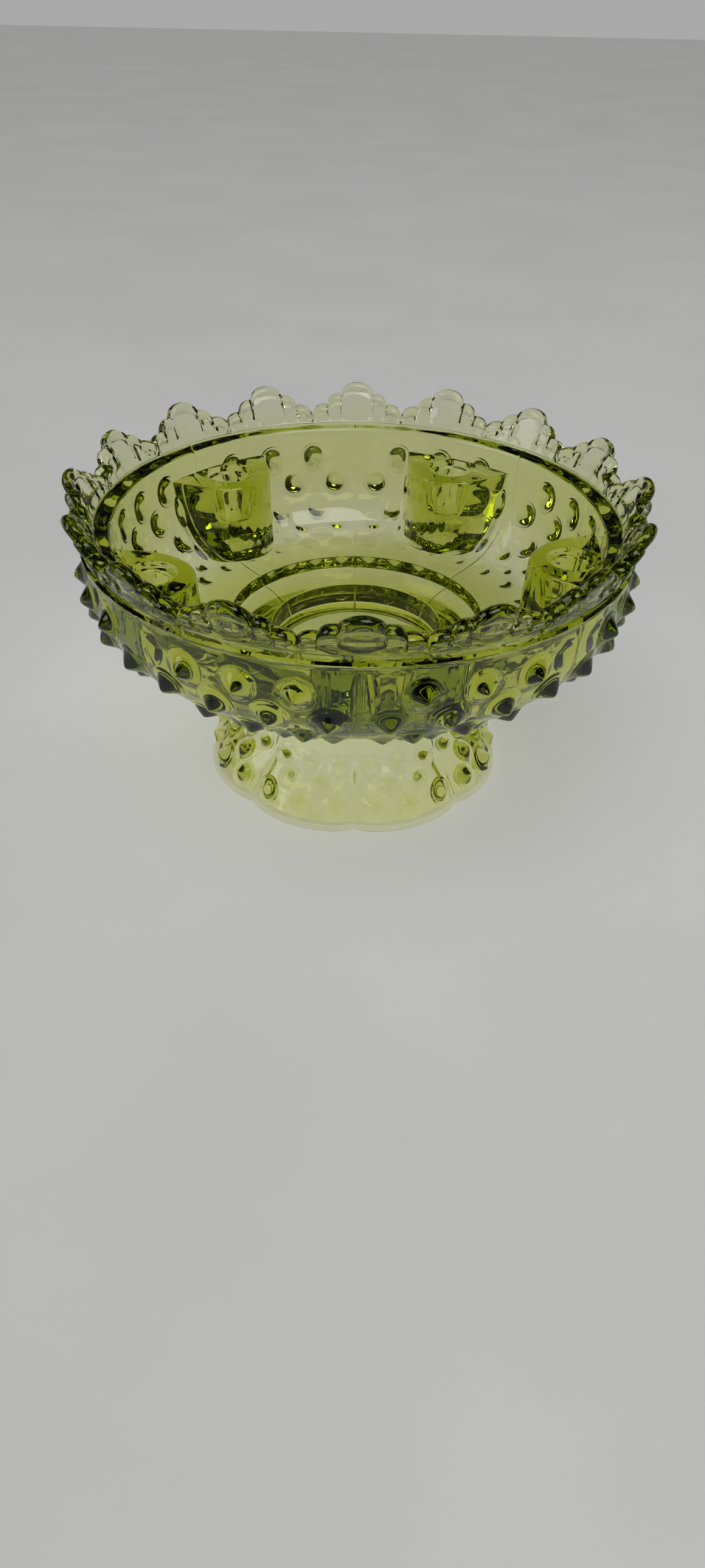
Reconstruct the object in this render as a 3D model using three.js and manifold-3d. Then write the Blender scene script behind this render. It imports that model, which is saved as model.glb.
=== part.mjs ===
// Footed glass candle bowl. Millimetres, +Z up, standing on z = 0 with its axis on the Z axis.
// A pressed hobnail bowl with a shell-scalloped rim, five taper cups inside and a lobed hollow foot.
// The casting is laid out in regions, each a closed body of its own with a hairline gap to the next.
import * as THREE from 'three';
import { mergeVertices } from 'three/addons/utils/BufferGeometryUtils.js';
import Module from 'manifold-3d';

const wasm = await Module();
wasm.setup();

// Overall
const HEIGHT = 91.5;
const GAP = 0.3;
const SEGMENTS = 48;
const TAU = Math.PI * 2;

// Levels that divide the casting, from the table up
const FOOT_TOP = 19.0;
const STEM_TOP = 31.0;
const HOLLOW_TOP = 34.0;
const FLOOR_RADIUS = 43.6;
const BAND_BOTTOM = 76.4;
const BAND_TOP = 80.5;

// Rim scallops
const SCALLOPS = 16;
const BEADS = [
  { start: 0, end: 5.5, lean: 0, top: 91.5, low: 87.9 },
  { start: 5.5, end: 10.3, lean: -0.25, top: 88.3, low: 85.1 },
  { start: 10.3, end: 16.0, lean: -0.25, top: 85.4, low: 82.6 },
];

// Stepped floor: a wide flat, then two round seats sunk into it
const FLOOR_TOP = 48.8;
const SEAT_RADIUS = 37.3;
const SEAT_TOP = 44.9;
const WELL_RADIUS = 25.2;
const WELL_TOP = 38.6;

// Hobnails
const BOWL_PITCH = 360 / 32;
const FOOT_PITCH = 360 / 24;
const PANELS = 8;
const HOB_RADIUS = 4.1;
const HOB_HEIGHT = 3.3;
const HOB_SIDES = 6;
const BOWL_ROWS = [
  { r: 76.8, z: 68.2, tilt: 0, shift: 0, scale: 1, rise: 1 },
  { r: 74.9, z: 60.0, tilt: 16, shift: 0.5, scale: 1, rise: 0.95 },
  { r: 69.6, z: 52.2, tilt: 38, shift: 0, scale: 0.93, rise: 0.75 },
  { r: 64.2, z: 47.8, tilt: 55, shift: 0.5, scale: 0.8, rise: 0.6 },
  { r: 58.8, z: 44.3, tilt: 58, shift: 0, scale: 0.74, rise: 0.5 },
  { r: 53.6, z: 41.7, tilt: 66, shift: 0.5, scale: 0.7, rise: 0.5 },
];
const FOOT_ROWS = [
  { r: 33.9, z: 15.6, tilt: -52, shift: 0.5, scale: 0.68, rise: 1.1 },
  { r: 38.9, z: 11.4, tilt: -44, shift: 0, scale: 0.74, rise: 1.1 },
  { r: 43.6, z: 6.4, tilt: -32, shift: 0.5, scale: 0.8, rise: 1.1 },
];

// Foot
const LOBES = 8;
const LOBE_DEPTH = 3.0;

// Candle cups
const CUPS = 5;
const CUP_START = 6;
const CUP_TOP = 73.2;
const CUP_BOTTOM = 46.0;
const SOCKET_CENTRE = 60.6;
const SOCKET_FLOOR = 59.0;
const SOCKET_MOUTH_RADIUS = 7.1;
const SOCKET_TOP_RADIUS = 5.9;
const SOCKET_LOW_RADIUS = 3.9;

// Half sections, [radius, height]
const OUTER = [
  [76.9, 76.4], [76.9, 68.6], [76.3, 64.1], [74.9, 60.1], [72.4, 55.6], [70.6, 53.3],
  [66.4, 49.4], [61.2, 45.8], [57.0, 43.2], [50.5, 40.4],
];
const INNER = [
  [68.9, 76.4], [68.6, 73.2], [68.0, 66.5], [66.4, 60.0], [63.6, 54.6], [60.0, 50.9],
  [57.0, 49.2], [55.0, 48.8],
];
const CUP_BACK = [
  [72.4, 76.4], [72.4, 68.0], [71.6, 63.9], [69.6, 59.6], [66.8, 55.6], [63.0, 52.2],
  [57.6, 49.2], [51.5, 47.4], [44.5, 46.6],
];

/** A Manifold from a three.js geometry, turned outward and with its vertices merged. */
function solid(geometry) {
  const g = geometry.clone();
  g.deleteAttribute('normal');
  g.deleteAttribute('uv');
  const merged = mergeVertices(g, 1e-4);
  const position = merged.attributes.position.array;
  const index = merged.index.array;
  const tris = [];
  let volume = 0;
  for (let i = 0; i < index.length; i += 3) {
    const [a, b, c] = [index[i], index[i + 1], index[i + 2]];
    if (a === b || b === c || c === a) continue;
    const pa = new THREE.Vector3().fromArray(position, a * 3);
    const pb = new THREE.Vector3().fromArray(position, b * 3);
    const pc = new THREE.Vector3().fromArray(position, c * 3);
    volume += pa.dot(pb.cross(pc));
    tris.push(a, b, c);
  }
  if (volume < 0) tris.reverse();
  const mesh = new wasm.Mesh({
    numProp: 3,
    vertProperties: new Float32Array(position),
    triVerts: new Uint32Array(tris),
  });
  return new wasm.Manifold(mesh);
}

/** A three.js geometry from a Manifold. */
function geometryOf(manifold) {
  const mesh = manifold.getMesh();
  const g = new THREE.BufferGeometry();
  g.setAttribute('position', new THREE.BufferAttribute(new Float32Array(mesh.vertProperties), 3));
  g.setIndex(new THREE.BufferAttribute(new Uint32Array(mesh.triVerts), 1));
  g.computeVertexNormals();
  return g;
}

/** Revolves a half section about Z. A loop that misses the axis is closed on itself. */
function turned(points, segments = SEGMENTS) {
  const loop = points.map(([r, z]) => new THREE.Vector2(r, z));
  if (points[0][0] > 0 || points[points.length - 1][0] > 0) loop.push(loop[0].clone());
  const g = new THREE.LatheGeometry(loop, segments);
  g.rotateX(Math.PI / 2);
  return solid(g);
}

/** An outline in the horizontal plane, raised from z0 to z1. */
function raised(outline, z0, z1) {
  const shape = new THREE.Shape(outline.map(([x, y]) => new THREE.Vector2(x, y)));
  const g = new THREE.ExtrudeGeometry(shape, { depth: z1 - z0, bevelEnabled: false });
  g.translate(0, 0, z0);
  return solid(g);
}

/** One hobnail: a pointed cone, its base sunk a little into the surface. */
function hobnail(row, angle) {
  const r = HOB_RADIUS * row.scale;
  const h = HOB_HEIGHT * row.scale * row.rise;
  const profile = [[0, -1], [r * (1 + 1 / h), -1], [0, h]];
  const g = new THREE.LatheGeometry(profile.map(([x, y]) => new THREE.Vector2(x, y)), HOB_SIDES);
  g.rotateZ(-Math.PI / 2);
  g.rotateY(THREE.MathUtils.degToRad(row.tilt));
  g.translate(row.r, 0, row.z);
  g.rotateZ(THREE.MathUtils.degToRad(angle - 90));
  return solid(g);
}

/** All the hobnails of one row; whole-pitch rows leave out the eight panel seams. */
function hobRow(row, pitch) {
  const count = Math.round(360 / pitch);
  const hobs = [];
  for (let k = 0; k < count; k += 1) {
    const angle = (k + row.shift) * pitch;
    const onSeam = Math.abs(((angle * PANELS) / 360) % 1) < 1e-6;
    if (!onSeam) hobs.push(hobnail(row, angle));
  }
  return wasm.Manifold.union(hobs);
}

/** A lobed ring: the section is revolved, then each point is pulled in towards the lobe seams. */
function lobed(points) {
  const loop = points.map(([r, z]) => new THREE.Vector2(r, z));
  loop.push(loop[0].clone());
  const g = new THREE.LatheGeometry(loop, SEGMENTS);
  g.rotateX(Math.PI / 2);
  const p = g.attributes.position;
  for (let i = 0; i < p.count; i += 1) {
    const angle = Math.atan2(p.getY(i), p.getX(i));
    const wave = Math.pow(Math.abs(Math.sin(((angle + Math.PI / 2) * LOBES) / 2)), 0.45);
    const radius = Math.hypot(p.getX(i), p.getY(i));
    const fall = Math.min(1, Math.max(0, (17 - p.getZ(i)) / 9));
    const k = (radius - LOBE_DEPTH * fall * (1 - wave)) / radius;
    p.setXY(i, p.getX(i) * k, p.getY(i) * k);
  }
  return solid(g);
}

// Plan outline of a cup block, pointing along +X: a round nose with flanks that sweep into the wall
function cupOutline(grow) {
  const half = [
    [48.0, 0], [49.2, 5.2], [52.6, 10.2], [55.9, 13.0], [59.6, 14.9], [63.3, 16.2], [66.4, 17.8],
    [68.4, 20.5], [76.0, 20.8],
  ];
  const right = half.map(([x, y]) => [x - (x < 70 ? grow : 0), y === 0 ? 0 : y + grow]);
  const left = right.slice(1).reverse().map(([x, y]) => [x, -y]);
  return [...right, ...left];
}

const cupLimit = turned([[0, 90], [72.4, 90], ...CUP_BACK, [0, CUP_BOTTOM]]);
const cupRoom = turned([
  [0, 90], [72.4 + GAP, 90], ...CUP_BACK.map(([r, z]) => [r + GAP, z - GAP]), [0, CUP_BOTTOM - GAP],
]);
const cupBlank = raised(cupOutline(0), CUP_BOTTOM, CUP_TOP).intersect(cupLimit);
const cupSpace = raised(cupOutline(GAP), CUP_BOTTOM - 2, BAND_BOTTOM + 2).intersect(cupRoom);
const socket = turned([
  [0, SOCKET_FLOOR], [SOCKET_LOW_RADIUS, SOCKET_FLOOR], [SOCKET_TOP_RADIUS, CUP_TOP - 2.4],
  [SOCKET_MOUTH_RADIUS, CUP_TOP - 1.8], [SOCKET_MOUTH_RADIUS, CUP_TOP + 2], [0, CUP_TOP + 2],
], 18).translate([SOCKET_CENTRE, 0, 0]);
const cup = cupBlank.subtract(socket);
const cupAngle = (i) => CUP_START - 90 + (i * 360) / CUPS;
const spaces = [];
for (let i = 0; i < CUPS; i += 1) {
  spaces.push(cupSpace.rotate([0, 0, cupAngle(i)]));
}
const allSpaces = wasm.Manifold.union(spaces);

// Foot: flared, lobed and hollow, with three rows of hobnails
const footSection = [
  [32.6, FOOT_TOP], [33.9, 16.0], [36.8, 13.6], [41.4, 9.8], [45.2, 4.4], [46.3, 2.6],
  [46.2, 0.6], [45.2, 0], [40.6, 0], [37.8, 5.4], [32.6, 11.6], [28.6, 17.0], [27.6, FOOT_TOP],
];
const foot = FOOT_ROWS.reduce(
  (body, row) => body.add(hobRow(row, FOOT_PITCH)),
  lobed(footSection),
);

// Stem: the waisted ring between the foot and the bowl
const stem = turned([
  [32.4, FOOT_TOP + GAP], [31.7, 25.0], [32.6, STEM_TOP],
  [26.6, STEM_TOP], [27.4, FOOT_TOP + GAP],
]);

// Bowl floor: a thick disc with its two seats, running down into the top of the stem
const floor = turned([
  [0, HOLLOW_TOP], [25.0, HOLLOW_TOP], [26.4, 32.6], [26.6, STEM_TOP + GAP],
  [32.7, STEM_TOP + GAP], [34.6, 33.6], [38.4, 36.3],
  [FLOOR_RADIUS, 38.0], [FLOOR_RADIUS, FLOOR_TOP], [SEAT_RADIUS, FLOOR_TOP],
  [SEAT_RADIUS - 0.3, SEAT_TOP], [WELL_RADIUS, SEAT_TOP], [WELL_RADIUS - 0.3, WELL_TOP],
  [0, WELL_TOP],
]);

// Bowl wall: six rows of hobnails outside, pockets inside for the cups
const wallBody = turned([
  ...OUTER, [FLOOR_RADIUS + GAP, 38.4], [FLOOR_RADIUS + GAP, FLOOR_TOP], ...INNER.slice().reverse(),
]);
const wall = BOWL_ROWS.reduce((body, row) => body.add(hobRow(row, BOWL_PITCH)), wallBody)
  .subtract(allSpaces);

// Rim band: the plain ring that carries the scallops
const band = turned([
  [68.9, BAND_BOTTOM + GAP], [76.9, BAND_BOTTOM + GAP], [77.4, 78.6], [77.8, BAND_TOP],
  [73.2, BAND_TOP], [69.4, 79.5],
]).subtract(allSpaces);

// One scallop, built facing +X: a flared strip trimmed to its wedge and to its beaded outline
function beadOutline() {
  const steps = 4;
  const right = BEADS.flatMap((bead) => Array.from({ length: steps + 1 }, (_, s) => {
    const x = bead.start + ((bead.end - bead.start) * s) / steps;
    const t = bead.lean + ((1 - bead.lean) * s) / steps;
    return [x + s * 1e-3, bead.low + (bead.top - bead.low) * Math.sqrt(1 - t * t)];
  }));
  const left = right.slice(1).reverse().map(([x, z]) => [-x, z]);
  return [...left, ...right, [17, 70], [-17, 70]];
}
const strip = turned([
  [73.4, BAND_TOP + GAP], [77.9, BAND_TOP + GAP], [78.5, 83.6], [80.6, 87.0], [81.7, 89.0],
  [81.4, 90.8], [79.8, HEIGHT], [78.6, 91.0], [76.0, 86.4],
]);
const halfWedge = Math.PI / SCALLOPS - GAP / 2 / 77;
const wedge = raised([
  [0, 0], [90 * Math.cos(halfWedge), -90 * Math.sin(halfWedge)],
  [90 * Math.cos(halfWedge), 90 * Math.sin(halfWedge)],
], 70, 100);
const face = new THREE.ExtrudeGeometry(
  new THREE.Shape(beadOutline().map(([x, y]) => new THREE.Vector2(x, y))),
  { depth: 20, bevelEnabled: false },
);
face.rotateX(Math.PI / 2);
face.rotateZ(Math.PI / 2);
face.translate(66, 0, 0);
const scallop = strip.intersect(wedge).intersect(solid(face));

const glass = (name) => new THREE.MeshStandardMaterial({
  name, color: 0x6f7d1c, roughness: 0.05, metalness: 0, transparent: true, opacity: 0.6,
});

const group = new THREE.Group();
group.name = 'candle_bowl';
function place(name, manifold) {
  const mesh = new THREE.Mesh(geometryOf(manifold), glass(name));
  mesh.name = name;
  group.add(mesh);
}

place('foot', foot);
place('stem', stem);
place('bowl_floor', floor);
place('bowl_wall', wall);
place('rim_band', band);
for (let i = 0; i < SCALLOPS; i += 1) {
  place(`scallop_${String(i + 1).padStart(2, '0')}`, scallop.rotate([0, 0, (i * 360) / SCALLOPS - 90]));
}
for (let i = 0; i < CUPS; i += 1) {
  place(`candle_cup_${i + 1}`, cup.rotate([0, 0, cupAngle(i)]));
}

export default group;
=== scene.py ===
import math

import bpy
import numpy as np
from mathutils import Matrix, Vector


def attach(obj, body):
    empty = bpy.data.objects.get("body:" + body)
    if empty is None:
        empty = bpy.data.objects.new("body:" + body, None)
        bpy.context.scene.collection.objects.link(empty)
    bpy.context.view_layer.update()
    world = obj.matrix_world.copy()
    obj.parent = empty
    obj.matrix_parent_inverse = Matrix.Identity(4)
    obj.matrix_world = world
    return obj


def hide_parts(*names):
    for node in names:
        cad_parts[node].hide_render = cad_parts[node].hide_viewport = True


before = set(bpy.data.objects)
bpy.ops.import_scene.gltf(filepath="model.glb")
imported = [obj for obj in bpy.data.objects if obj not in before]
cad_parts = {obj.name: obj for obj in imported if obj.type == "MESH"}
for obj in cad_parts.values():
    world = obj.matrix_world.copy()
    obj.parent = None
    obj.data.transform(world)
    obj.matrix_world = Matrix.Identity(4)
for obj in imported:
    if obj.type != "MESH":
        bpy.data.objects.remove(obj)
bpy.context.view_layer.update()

# Shapes are worked out in millimetres on the bowl's axis and written to the meshes in metres.
# Angles run round the axis from the front (-Y), growing towards +X.
MM = 0.001
COLUMNS = 1152
OUTSIDE_SPACING = 0.38
HEIGHT = 91.5

# Rim
SCALLOPS = 16
RIM_RADIUS = 80.0
RIM_FOOT = 77.6
RIM_INNER_FOOT = 80.9
LIP_RADIUS = 1.75
NOTCH_RADIUS = 78
NOTCH_WIDTH = 1.6
NOTCH_DEPTH = 0.8
ROLL = 0.7
ROLL_DEPTH = 4.4
BEADS = (
    # start and end along the rim from the scallop's middle, lean, crest and end heights
    (0.0, 5.5, 0.0, 91.5, 87.9),
    (5.5, 10.3, -0.25, 88.3, 85.1),
    (10.3, 15.7, -0.25, 85.4, 82.6),
)
RIM_OUTSIDE = ((76.6, 77.4), (77.8, 80.5), (78.5, 83.0), (79.9, 86.5), (81.0, 89.0), (81.2, 92.0))
RIM_INSIDE = ((69.4, 77.4), (73.2, 80.5), (74.4, 83.6), (76.4, 87.0), (78.0, 89.0), (78.4, 92.0))
RIM_STEP = ((73.3, RIM_INNER_FOOT), (73.0, 80.5), (69.6, 79.6), (69.1, 79.0), (68.9, 76.4), (68.65, 73.9))

# Hobnails: radius and height on the bare wall, shift in pitches, scale, steepness
HOB_PROFILE = (
    (0.0, 3.35), (0.4, 3.25), (1.0, 2.85), (2.0, 2.05), (3.0, 1.2), (3.6, 0.72), (4.1, 0.46),
    (4.6, 0.38), (4.9, 0.3), (5.05, 0.05), (5.1, 0.0), (6.0, 0.0),
)
BOWL_HOBS = (
    (76.9, 68.2, 0.0, 1.0, 1.0),
    (74.9, 60.0, 0.5, 1.0, 0.95),
    (69.3, 51.8, 0.0, 0.93, 0.75),
    (64.2, 47.8, 0.5, 0.80, 0.6),
    (58.8, 44.3, 0.0, 0.74, 0.5),
    (53.6, 41.3, 0.5, 0.70, 0.5),
)
FOOT_HOBS = (
    (33.9, 15.6, 0.5, 0.68, 1.1),
    (38.9, 12.1, 0.0, 0.74, 1.1),
    (43.2, 7.6, 0.5, 0.80, 1.1),
)
BOWL_PITCH = math.tau / 32
FOOT_PITCH = math.tau / 24
PANELS = 8
SEAM_RADIUS = 76
SEAM_WIDTH = 0.7
SEAM_HEIGHT = 0.22

# Foot
LOBES = 8
LOBE_DEPTH = 3.0
LOBE_TOP = 17
LOBE_FADE = 9
LOBE_SHARPNESS = 0.45
LOBE_RADIUS = 40
STANDING_RING = ((41.6, 0.0), (43.0, 0.0), (44.4, 0.0))

# Candle cups
CUPS = 5
CUP_START = math.radians(6)
LEDGE = 73.2
CUP_PLAN = (
    (48.8, 0.0), (49.3, 3.5), (50.8, 7.0), (53.2, 10.2), (56.4, 13.0), (60.0, 14.9),
    (63.5, 16.2), (66.4, 17.8), (68.4, 20.5),
)
CUP_DRAFT = 1.6
CUP_SPREAD = math.radians(5)
SOCKET_CENTRE = 60.6
SOCKET_FACETS = 18
SOCKET = (
    (0.0, 59.0), (2.9, 59.0), (3.7, 59.3), (4.2, 60.2), (5.8, 70.4), (6.1, 71.0), (6.9, 71.3),
    (7.1, 72.0), (7.1, 73.2), (7.3, 73.8), (7.6, 80.0), (0.0, 80.0),
)

# Half sections, radius and height
UNDERSIDE = ((0.0, 34.0), (23.6, 34.0), (25.8, 33.0), (26.6, 30.5), (27.0, 22.0), (28.6, 17.0),
             (32.6, 11.6), (37.8, 5.4), (39.6, 1.4), (40.6, 0.0))
OUTSIDE = ((45.2, 0.0), (46.2, 0.6), (46.5, 1.8), (46.2, 3.0), (45.2, 4.4), (41.4, 9.8), (36.8, 13.6),
           (33.5, 16.1), (32.0, 20.6), (31.6, 25.2), (32.4, 29.8), (35.1, 34.0), (39.6, 36.6),
           (45.7, 38.5), (53.3, 41.2), (58.7, 44.3), (61.2, 45.8), (66.4, 49.4), (70.6, 53.3),
           (72.4, 55.6), (74.9, 60.1), (76.3, 64.1), (76.9, 68.6), (76.9, 76.0), (77.1, 76.5),
           (77.7, 77.4))
WALL = ((68.6, 73.2), (68.0, 66.5), (66.4, 60.0), (63.6, 54.6), (60.0, 50.9), (57.0, 49.2),
        (55.4, 48.8), (43.6, 48.8))
FLOOR = ((43.6, 48.8), (37.6, 48.8), (37.1, 44.9), (25.5, 44.9), (25.0, 38.6), (0.0, 38.6))

# Glass
GLASS_IOR = 1.51
GLASS_TINT = (0.80, 0.836, 0.08, 1)
GLASS_DENSITY = 122
SHARP_ANGLE = math.radians(38)

# Floor: metres from its middle to each edge, and its greys by the strength of the grain
FLOOR_REACH = 4.0
FLOOR_GREYS = [(0.3, (0.665, 0.665, 0.66)), (0.7, (0.70, 0.70, 0.695))]

# Lights: what the windows face, in metres, and how wide the suns spread
BOWL_MIDDLE = Vector((0, 0, 0.05))
SUN_SPREAD = math.radians(60)

# The glow fades out between two heights and grows from front to back; both are parts of a unit direction
GLOW_TOP = (0.04, 0.20)
GLOW_FRONT_TO_BACK = (-0.3, 0.8)
GLOW_STRENGTH = (0.10, 0.38)
OVERHEAD_STRENGTH = 0.018

# Camera: metres from the rim's middle, angles round and above it, dip below it, roll, lens in mm
CAMERA_DISTANCE = 0.30624
CAMERA_TURN = math.radians(-1.0336)
CAMERA_RISE = math.radians(21.6871)
CAMERA_DIP = 0.28221
CAMERA_ROLL = math.radians(1.2893)
CAMERA_LENS = 54.52

phi = np.arange(COLUMNS) * math.tau / COLUMNS


def polyline(points, spacing=0.2, passes=40):
    """Evenly spaced points along a line through the given points, its corners softly rounded."""
    p = np.array(points, float)
    run = np.concatenate([[0], np.cumsum(np.hypot(*np.diff(p, axis=0).T))])
    at = np.linspace(0, run[-1], max(3, int(run[-1] / spacing)))
    line = np.stack([np.interp(at, run, p[:, 0]), np.interp(at, run, p[:, 1])], axis=1)
    for _ in range(passes):
        line[1:-1] = (line[:-2] + 2 * line[1:-1] + line[2:]) / 4
    return line


def resampled(line, count):
    run = np.concatenate([[0], np.cumsum(np.hypot(*np.diff(line, axis=0).T))])
    at = np.linspace(0, run[-1], count)
    return np.stack([np.interp(at, run, line[:, 0]), np.interp(at, run, line[:, 1])], axis=1)


def length(line):
    return float(np.hypot(*np.diff(line, axis=0).T).sum())


def around(angle, period):
    """Angle from the nearest multiple of period."""
    return (angle + period / 2) % period - period / 2


def lobe_pull(r, z):
    """How far the foot's seams are drawn in at each height, by column."""
    wave = np.abs(np.sin(phi * LOBES / 2)) ** LOBE_SHARPNESS
    fall = np.clip((LOBE_TOP - z) / LOBE_FADE, 0, 1)
    return LOBE_DEPTH * fall * (1 - wave[None, :]) * np.clip(r / LOBE_RADIUS, 0, 1)


def hob_height(r, z, line_s, line, hobs, pitch):
    """Height of the hobnails over the bare outside surface."""
    hob_line = polyline(HOB_PROFILE, spacing=0.05, passes=16)
    height = np.zeros_like(r)
    for hr, hz, shift, scale, steepness in hobs:
        middle = line_s[np.argmin(np.hypot(line[:, 0] - hr, line[:, 1] - hz))]
        off = around(phi - shift * pitch, pitch)
        centre = phi - off
        seam = np.abs(around(centre, math.tau / PANELS)) < 1e-3
        distance = np.hypot(line_s[:, None] - middle, hr * off[None, :])
        bump = scale * steepness * np.interp(distance / scale, hob_line[:, 0], hob_line[:, 1])
        bump[:, seam] = 0
        height = np.maximum(height, bump)
    return height


def rim_top():
    """Height of the scalloped edge and how full its beads are, by column."""
    x = np.abs(around(phi, math.tau / SCALLOPS)) * RIM_RADIUS
    top = np.zeros(COLUMNS)
    full = np.zeros(COLUMNS)
    for start, end, lean, crest, low in BEADS:
        inside = (x >= start) & (x <= end + 0.1)
        t = np.clip(lean + (1 - lean) * (x - start) / (end - start), -1, 1)
        arch = np.sqrt(1 - t * t)
        top = np.where(inside, low + (crest - low) * arch, top)
        full = np.where(inside, arch, full)
    return top, full


rows_r, rows_z = [], []


def add_rows(r, z):
    """Adds rows of points: each array is rows by columns, or one value a row."""
    r = np.array(r, float)
    z = np.array(z, float)
    if r.ndim == 1:
        r = np.repeat(r[:, None], COLUMNS, axis=1)
    if z.ndim == 1:
        z = np.repeat(z[:, None], COLUMNS, axis=1)
    rows_r.extend(r)
    rows_z.extend(z)


def build_underside():
    line = resampled(polyline(UNDERSIDE), 96)[1:]
    r = np.repeat(line[:, :1], COLUMNS, axis=1)
    z = np.repeat(line[:, 1:], COLUMNS, axis=1)
    add_rows(r - lobe_pull(r, z), np.maximum(z, 0))
    ring = np.array(STANDING_RING)
    r = np.repeat(ring[:, :1], COLUMNS, axis=1)
    z = np.repeat(ring[:, 1:], COLUMNS, axis=1)
    add_rows(r - lobe_pull(r, z), z)


def build_outside():
    dense = polyline(OUTSIDE, passes=24)
    line = resampled(dense, int(length(dense) / OUTSIDE_SPACING))
    line_s = np.linspace(0, length(dense), len(line))
    tangent = np.gradient(line, axis=0)
    tangent /= np.hypot(tangent[:, 0], tangent[:, 1])[:, None]
    r = np.repeat(line[:, :1], COLUMNS, axis=1)
    z = np.repeat(line[:, 1:], COLUMNS, axis=1)
    out = hob_height(r, z, line_s, line, BOWL_HOBS, BOWL_PITCH)
    out = np.maximum(out, hob_height(r, z, line_s, line, FOOT_HOBS, FOOT_PITCH))
    seam = np.clip(1 - np.abs(around(phi, math.tau / PANELS)) * SEAM_RADIUS / SEAM_WIDTH, 0, 1)
    out += SEAM_HEIGHT * seam[None, :] * (out < 0.01)
    pull = lobe_pull(r, z)
    add_rows(r + out * tangent[:, 1:] - pull, np.maximum(z - out * tangent[:, :1], 0))


def build_rim():
    top, full = rim_top()
    off = np.abs(around(phi + math.pi / SCALLOPS, math.tau / SCALLOPS)) * NOTCH_RADIUS
    notch = np.clip(1 - off / NOTCH_WIDTH, 0, 1)
    outside = np.array(RIM_OUTSIDE)
    inside = np.array(RIM_INSIDE)
    groove = 1 - full

    def face(table, z, side):
        base = np.interp(z, table[:, 1], table[:, 0])
        fade = np.clip((z - 80.8) / 1.4, 0, 1)
        low = np.clip((z - RIM_FOOT) / 2.0, 0, 1)
        cut = groove * fade * (3 - 2 * fade) * fade + notch * NOTCH_DEPTH * low * (side > 0)
        roll = np.clip((ROLL_DEPTH - (top - z)) / 1.2, 0, 1)
        rise = ROLL * roll * roll * (3 - 2 * roll) * (1 if side > 0 else 0.35)
        return base + side * (rise - cut)

    shoulder = top - LIP_RADIUS
    for f in np.linspace(0, 1, 40)[1:]:
        z = RIM_FOOT + (shoulder - RIM_FOOT) * f
        add_rows([face(outside, z, 1)], [z])
    edge_out = face(outside, shoulder, 1)
    edge_in = face(inside, shoulder, -1)
    middle = (edge_out + edge_in) / 2
    half = (edge_out - edge_in) / 2
    for a in np.linspace(0, math.pi, 14)[1:-1]:
        add_rows([middle + half * math.cos(a)], [shoulder + LIP_RADIUS * math.sin(a)])
    for f in np.linspace(0, 1, 32):
        z = shoulder + (RIM_INNER_FOOT - shoulder) * f
        add_rows([face(inside, z, -1)], [z])
    step = resampled(polyline(RIM_STEP, passes=10), 26)[1:]
    add_rows(step[:, 0], step[:, 1])


def cup_reach():
    """Distance of the cup's face from the axis, by angle from the cup's middle."""
    plan = np.array(CUP_PLAN)
    angle = np.arctan2(plan[:, 1], plan[:, 0])
    reach = np.hypot(plan[:, 0], plan[:, 1])
    return angle, reach


def build_inside():
    wall_points = 400
    wall = resampled(polyline(WALL, passes=16), wall_points)
    wall_run = np.linspace(0, 1, wall_points)
    angle, reach = cup_reach()
    ledge_rows, face_rows, rest_rows = 16, 44, 34
    count = ledge_rows + face_rows + rest_rows
    r = np.zeros((count, COLUMNS))
    z = np.zeros((count, COLUMNS))
    off = np.abs(around(phi - CUP_START, math.tau / CUPS))
    down = np.linspace(0, 1, face_rows + 1)[1:]
    for j in range(COLUMNS):
        front = np.interp(off[j], angle, reach)
        if off[j] < angle[-1] and front < WALL[0][0]:
            low = front - CUP_DRAFT
            meet = np.interp(-low, -wall[:, 0], wall_run)
            ledge_r = np.linspace(WALL[0][0], front, ledge_rows)
            ledge_z = np.full(ledge_rows, LEDGE)
            foot_z = np.interp(meet, wall_run, wall[:, 1])
            face_r = front + (low - front) * down
            face_z = LEDGE + (foot_z - LEDGE) * down
        else:
            spread = min(1.0, max(0.0, (off[j] - angle[-1]) / CUP_SPREAD))
            spread = spread * spread * (3 - 2 * spread)
            edge, meet = 0.08 * spread, 0.62 * spread
            s = np.linspace(0, edge, ledge_rows)
            ledge_r = np.interp(s, wall_run, wall[:, 0])
            ledge_z = np.interp(s, wall_run, wall[:, 1])
            s = np.linspace(edge, meet, face_rows + 1)[1:]
            face_r = np.interp(s, wall_run, wall[:, 0])
            face_z = np.interp(s, wall_run, wall[:, 1])
        s = np.linspace(meet, 1, rest_rows + 1)[1:]
        r[:, j] = np.concatenate([ledge_r, face_r, np.interp(s, wall_run, wall[:, 0])])
        z[:, j] = np.concatenate([ledge_z, face_z, np.interp(s, wall_run, wall[:, 1])])
    for _ in range(6):
        for a in (r, z):
            a[1:-1] = (a[:-2] + 2 * a[1:-1] + a[2:]) / 4
            a[:] = (np.roll(a, 1, axis=1) + 2 * a + np.roll(a, -1, axis=1)) / 4
    add_rows(r, z)
    floor = resampled(polyline(FLOOR, spacing=0.1, passes=8), 240)[1:-1]
    add_rows(floor[:, 0], floor[:, 1])


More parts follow.
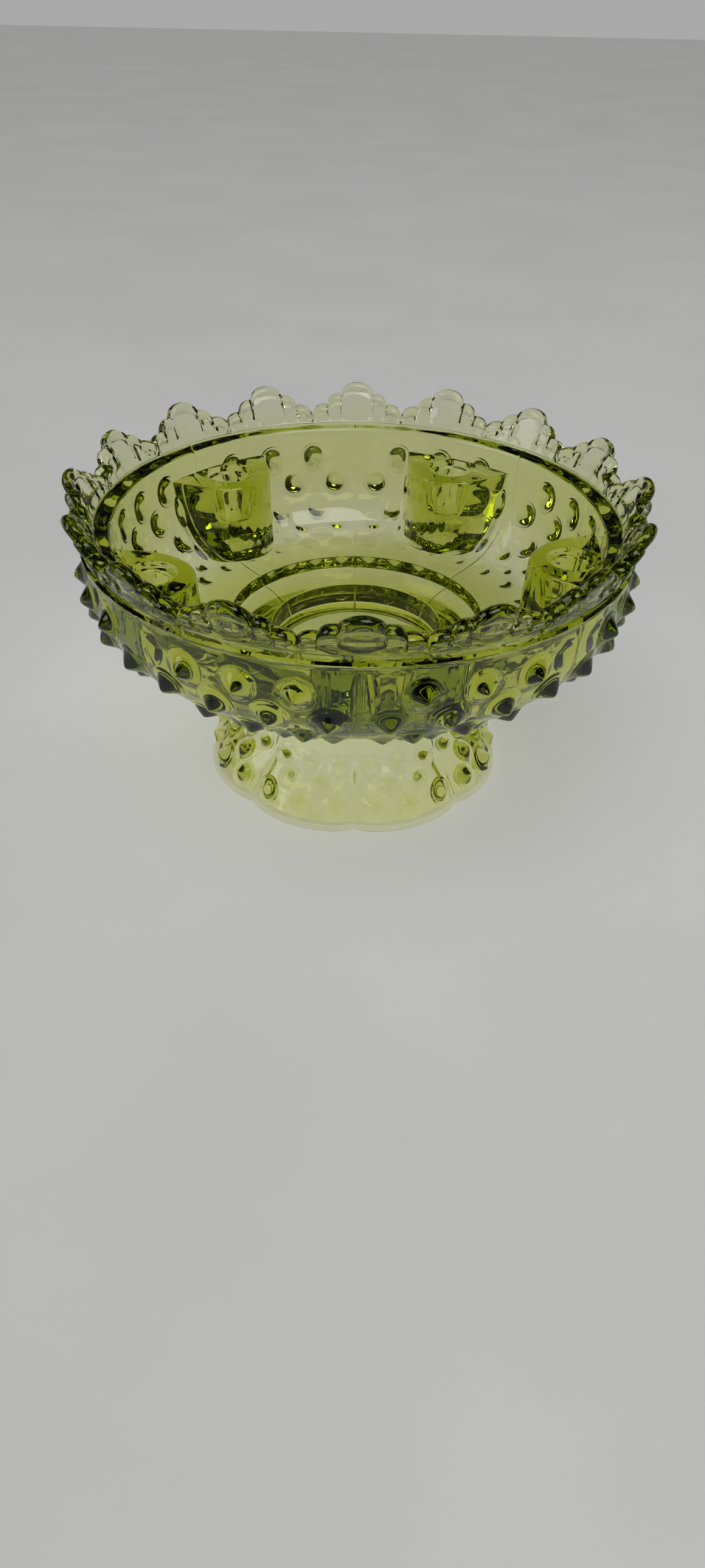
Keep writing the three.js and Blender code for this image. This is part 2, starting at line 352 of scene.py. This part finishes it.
def mesh_object(name, verts, quads, tris=(), smooth=True):
    """A mesh object from arrays of points, quads and triangles."""
    corners = np.concatenate([np.ravel(quads), np.ravel(tris)]).astype(np.int32)
    sizes = np.concatenate([np.full(len(quads), 4), np.full(len(tris), 3)]).astype(np.int32)
    mesh = bpy.data.meshes.new(name)
    mesh.vertices.add(len(verts))
    mesh.vertices.foreach_set("co", np.ravel(verts).astype(np.float32))
    mesh.loops.add(len(corners))
    mesh.loops.foreach_set("vertex_index", corners)
    mesh.polygons.add(len(sizes))
    mesh.polygons.foreach_set("loop_start", np.cumsum(sizes) - sizes)
    mesh.polygons.foreach_set("use_smooth", np.full(len(sizes), smooth))
    mesh.update(calc_edges=True)
    mesh.validate()
    obj = bpy.data.objects.new(name, mesh)
    bpy.context.collection.objects.link(obj)
    return obj


def lathe_faces(rows, columns):
    """Quads between the rows, and a fan of triangles to a point at each end of them."""
    j = np.arange(columns)
    k = (j + 1) % columns
    end = 1 + rows * columns
    last = end - columns
    low = np.stack([np.zeros_like(j), 1 + k, 1 + j], axis=1)
    high = np.stack([np.full_like(j, end), last + j, last + k], axis=1)
    base = 1 + columns * np.arange(rows - 1)[:, None]
    quads = np.stack([base + j, base + k, base + columns + k, base + columns + j], axis=2)
    return quads.reshape(-1, 4), np.concatenate([low, high])


def build_glass():
    build_underside()
    build_outside()
    build_rim()
    build_inside()
    r = np.array(rows_r)
    z = np.array(rows_z)
    x = r * np.sin(phi)[None, :]
    y = -r * np.cos(phi)[None, :]
    body = np.stack([x, y, z], axis=2).reshape(-1, 3)
    verts = np.concatenate([[[0, 0, UNDERSIDE[0][1]]], body, [[0, 0, FLOOR[-1][1]]]]) * MM
    return mesh_object("bowl", verts, *lathe_faces(len(r), COLUMNS))


def build_cutter(index, segments=144):
    """The space a candle goes into, as a closed lathed body."""
    line = resampled(polyline(SOCKET, spacing=0.1, passes=4), 90)[1:-1]
    t = np.arange(segments) * math.tau / segments
    facet = np.cos(math.pi / SOCKET_FACETS) / np.cos(around(t, math.tau / SOCKET_FACETS))
    tapered = (line[:, 1:] > SOCKET[3][1]) & (line[:, 1:] < SOCKET[4][1])
    radius = line[:, :1] * np.where(tapered, facet[None, :], 1)
    x = radius * np.cos(t)[None, :]
    y = radius * np.sin(t)[None, :]
    z = np.repeat(line[:, 1:], segments, axis=1)
    turn = CUP_START + index * math.tau / CUPS
    middle = np.array([SOCKET_CENTRE * math.sin(turn), -SOCKET_CENTRE * math.cos(turn), 0])
    body = np.stack([x, y, z], axis=2).reshape(-1, 3) + middle
    ends = [middle + [0, 0, SOCKET[0][1]], middle + [0, 0, SOCKET[-1][1]]]
    verts = np.concatenate([[ends[0]], body, [ends[1]]]) * MM
    return mesh_object(f"cutter_{index}", verts, *lathe_faces(len(line), segments))


def cut(body, cutter):
    bpy.context.view_layer.objects.active = body
    mod = body.modifiers.new("cut", "BOOLEAN")
    mod.operation = "DIFFERENCE"
    mod.solver = "MANIFOLD"
    mod.object = cutter
    with bpy.context.temp_override(object=body, active_object=body):
        bpy.ops.object.modifier_apply(modifier=mod.name)
    bpy.data.objects.remove(cutter, do_unlink=True)


def glass_material():
    mat = bpy.data.materials.new("glass")
    mat.use_nodes = True
    nt = mat.node_tree
    bsdf = nt.nodes["Principled BSDF"]
    out = nt.nodes["Material Output"]
    bsdf.inputs["Base Color"].default_value = (1, 1, 1, 1)
    bsdf.inputs["IOR"].default_value = GLASS_IOR
    bsdf.inputs["Transmission Weight"].default_value = 1.0
    coord = nt.nodes.new("ShaderNodeTexCoord")
    noise = nt.nodes.new("ShaderNodeTexNoise")
    noise.inputs["Scale"].default_value = 60
    noise.inputs["Detail"].default_value = 3
    nt.links.new(coord.outputs["Object"], noise.inputs["Vector"])
    rough = nt.nodes.new("ShaderNodeMapRange")
    rough.inputs["From Min"].default_value = 0.4
    rough.inputs["From Max"].default_value = 0.75
    rough.inputs["To Min"].default_value = 0.0
    rough.inputs["To Max"].default_value = 0.05
    nt.links.new(noise.outputs["Fac"], rough.inputs["Value"])
    nt.links.new(rough.outputs["Result"], bsdf.inputs["Roughness"])
    ripple = nt.nodes.new("ShaderNodeTexNoise")
    ripple.inputs["Scale"].default_value = 120
    ripple.inputs["Detail"].default_value = 2
    nt.links.new(coord.outputs["Object"], ripple.inputs["Vector"])
    bump = nt.nodes.new("ShaderNodeBump")
    bump.inputs["Strength"].default_value = 0.25
    bump.inputs["Distance"].default_value = 0.0006
    nt.links.new(ripple.outputs["Fac"], bump.inputs["Height"])
    nt.links.new(bump.outputs["Normal"], bsdf.inputs["Normal"])
    tint = nt.nodes.new("ShaderNodeVolumeAbsorption")
    tint.inputs["Color"].default_value = GLASS_TINT
    tint.inputs["Density"].default_value = GLASS_DENSITY
    nt.links.new(tint.outputs["Volume"], out.inputs["Volume"])
    return mat


def link_ramp(nt, value, stops):
    """A colour ramp fed by a value; stops are (position, colour)."""
    ramp = nt.nodes.new("ShaderNodeValToRGB")
    ramp.color_ramp.interpolation = "EASE"
    first, last = ramp.color_ramp.elements
    first.position, first.color = stops[0][0], (*stops[0][1], 1)
    last.position, last.color = stops[-1][0], (*stops[-1][1], 1)
    for position, colour in stops[1:-1]:
        ramp.color_ramp.elements.new(position).color = (*colour, 1)
    nt.links.new(value, ramp.inputs["Fac"])
    return ramp.outputs["Color"]


def link_range(nt, value, low, high, start, end):
    """A value eased from one range into another."""
    node = nt.nodes.new("ShaderNodeMapRange")
    node.interpolation_type = "SMOOTHSTEP"
    for name, number in (("From Min", low), ("From Max", high), ("To Min", start), ("To Max", end)):
        node.inputs[name].default_value = number
    nt.links.new(value, node.inputs["Value"])
    return node.outputs["Result"]


def link_math(nt, operation, *values):
    """The result of a math node fed by sockets and plain numbers."""
    node = nt.nodes.new("ShaderNodeMath")
    node.operation = operation
    for socket, value in zip(node.inputs, values):
        if isinstance(value, (int, float)):
            socket.default_value = value
        else:
            nt.links.new(value, socket)
    return node.outputs["Value"]


def floor_material():
    """Plain pale paper with a faint grain, the same everywhere."""
    mat = bpy.data.materials.new("floor")
    mat.use_nodes = True
    nt = mat.node_tree
    bsdf = nt.nodes["Principled BSDF"]
    bsdf.inputs["Roughness"].default_value = 0.85
    coord = nt.nodes.new("ShaderNodeTexCoord")
    grain = nt.nodes.new("ShaderNodeTexNoise")
    grain.inputs["Scale"].default_value = 9
    grain.inputs["Detail"].default_value = 6
    nt.links.new(coord.outputs["Object"], grain.inputs["Vector"])
    paper = link_ramp(nt, grain.outputs["Fac"], FLOOR_GREYS)
    nt.links.new(paper, bsdf.inputs["Base Color"])
    return mat


def build_world():
    """Dark overhead, with a pale glow along the horizon that is brightest behind the bowl."""
    world = bpy.data.worlds.new("world")
    bpy.context.scene.world = world
    world.use_nodes = True
    nt = world.node_tree
    coord = nt.nodes.new("ShaderNodeTexCoord")
    way = nt.nodes.new("ShaderNodeSeparateXYZ")
    nt.links.new(coord.outputs["Generated"], way.inputs["Vector"])
    low = link_range(nt, way.outputs["Z"], *GLOW_TOP, 1.0, 0.0)
    behind = link_range(nt, way.outputs["Y"], *GLOW_FRONT_TO_BACK, *GLOW_STRENGTH)
    strength = link_math(nt, "MULTIPLY_ADD", low, behind, OVERHEAD_STRENGTH)
    nt.links.new(strength, nt.nodes["Background"].inputs["Strength"])
    nt.nodes["Background"].inputs["Color"].default_value = (1, 1, 1, 1)


def direction(turn, rise):
    """A unit vector towards a point that is turned round from the front and raised."""
    return Vector((math.sin(turn) * math.cos(rise), -math.cos(turn) * math.cos(rise), math.sin(rise)))


def sky_light(name, energy, turn, rise, shadows):
    """A broad soft light from a direction, in degrees, that isn't seen in or through the glass."""
    data = bpy.data.lights.new(name, "SUN")
    data.energy = energy
    data.angle = SUN_SPREAD
    data.use_shadow = shadows
    away = direction(math.radians(turn), math.radians(rise))
    light = bpy.data.objects.new(name, data)
    light.rotation_euler = (-away).to_track_quat("-Z", "Y").to_euler()
    light.visible_transmission = False
    light.visible_glossy = False
    bpy.context.collection.objects.link(light)


def window_light(name, where, size, power, floor=True):
    """A square window that is mirrored in the glass, and may light the floor too."""
    data = bpy.data.lights.new(name, "AREA")
    data.size = size
    data.energy = power
    data.use_shadow = False
    light = bpy.data.objects.new(name, data)
    light.location = where
    light.visible_diffuse = floor
    light.rotation_euler = (BOWL_MIDDLE - Vector(where)).to_track_quat("-Z", "Y").to_euler()
    bpy.context.collection.objects.link(light)


def build_camera():
    """The camera stands in front and above, looking down at the rim's middle and then lower."""
    dip, roll = CAMERA_DIP, CAMERA_ROLL
    away = direction(CAMERA_TURN, CAMERA_RISE)
    forward = -away
    right = forward.cross(Vector((0, 0, 1))).normalized()
    up = right.cross(forward)
    look = forward * math.cos(dip) - up * math.sin(dip)
    up = up * math.cos(dip) + forward * math.sin(dip)
    side = right * math.cos(roll) + up * math.sin(roll)
    up = up * math.cos(roll) - right * math.sin(roll)
    data = bpy.data.cameras.new("camera")
    data.sensor_fit = "HORIZONTAL"
    data.sensor_width = 36
    data.lens = CAMERA_LENS
    data.clip_start = 0.01
    camera = bpy.data.objects.new("camera", data)
    turned = Matrix((side, up, -look)).transposed().to_4x4()
    place = Matrix.Translation(away * CAMERA_DISTANCE + Vector((0, 0, HEIGHT * MM)))
    camera.matrix_world = place @ turned
    bpy.context.collection.objects.link(camera)
    bpy.context.scene.camera = camera


bowl = build_glass()
for number in range(CUPS):
    cut(bowl, build_cutter(number))
bowl.data.polygons.foreach_set("use_smooth", [True] * len(bowl.data.polygons))
bowl.data.set_sharp_from_angle(angle=SHARP_ANGLE)
bowl.data.materials.clear()
bowl.data.materials.append(glass_material())
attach(bowl, "root")
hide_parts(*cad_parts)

floor = mesh_object(
    "floor",
    [(x * FLOOR_REACH, y * FLOOR_REACH, 0) for x, y in ((-1, -1), (1, -1), (1, 1), (-1, 1))],
    [(0, 1, 2, 3)],
    smooth=False,
)
floor.data.materials.append(floor_material())

sky_light("fill", 1.15, -20, 75, shadows=False)
sky_light("key", 0.45, -30, 60, shadows=True)
window_light("window_above", (0.30, -0.48, 1.40), 0.75, 5.4)
window_light("window_left", (-1.0, -0.25, 0.75), 0.7, 3.2, floor=False)
build_world()
bpy.context.scene.view_settings.view_transform = "Standard"
build_camera()

# Light crosses many glass faces on its way through the bowl
cycles = bpy.context.scene.cycles
cycles.max_bounces = 32
cycles.transmission_bounces = 28
cycles.transparent_max_bounces = 16
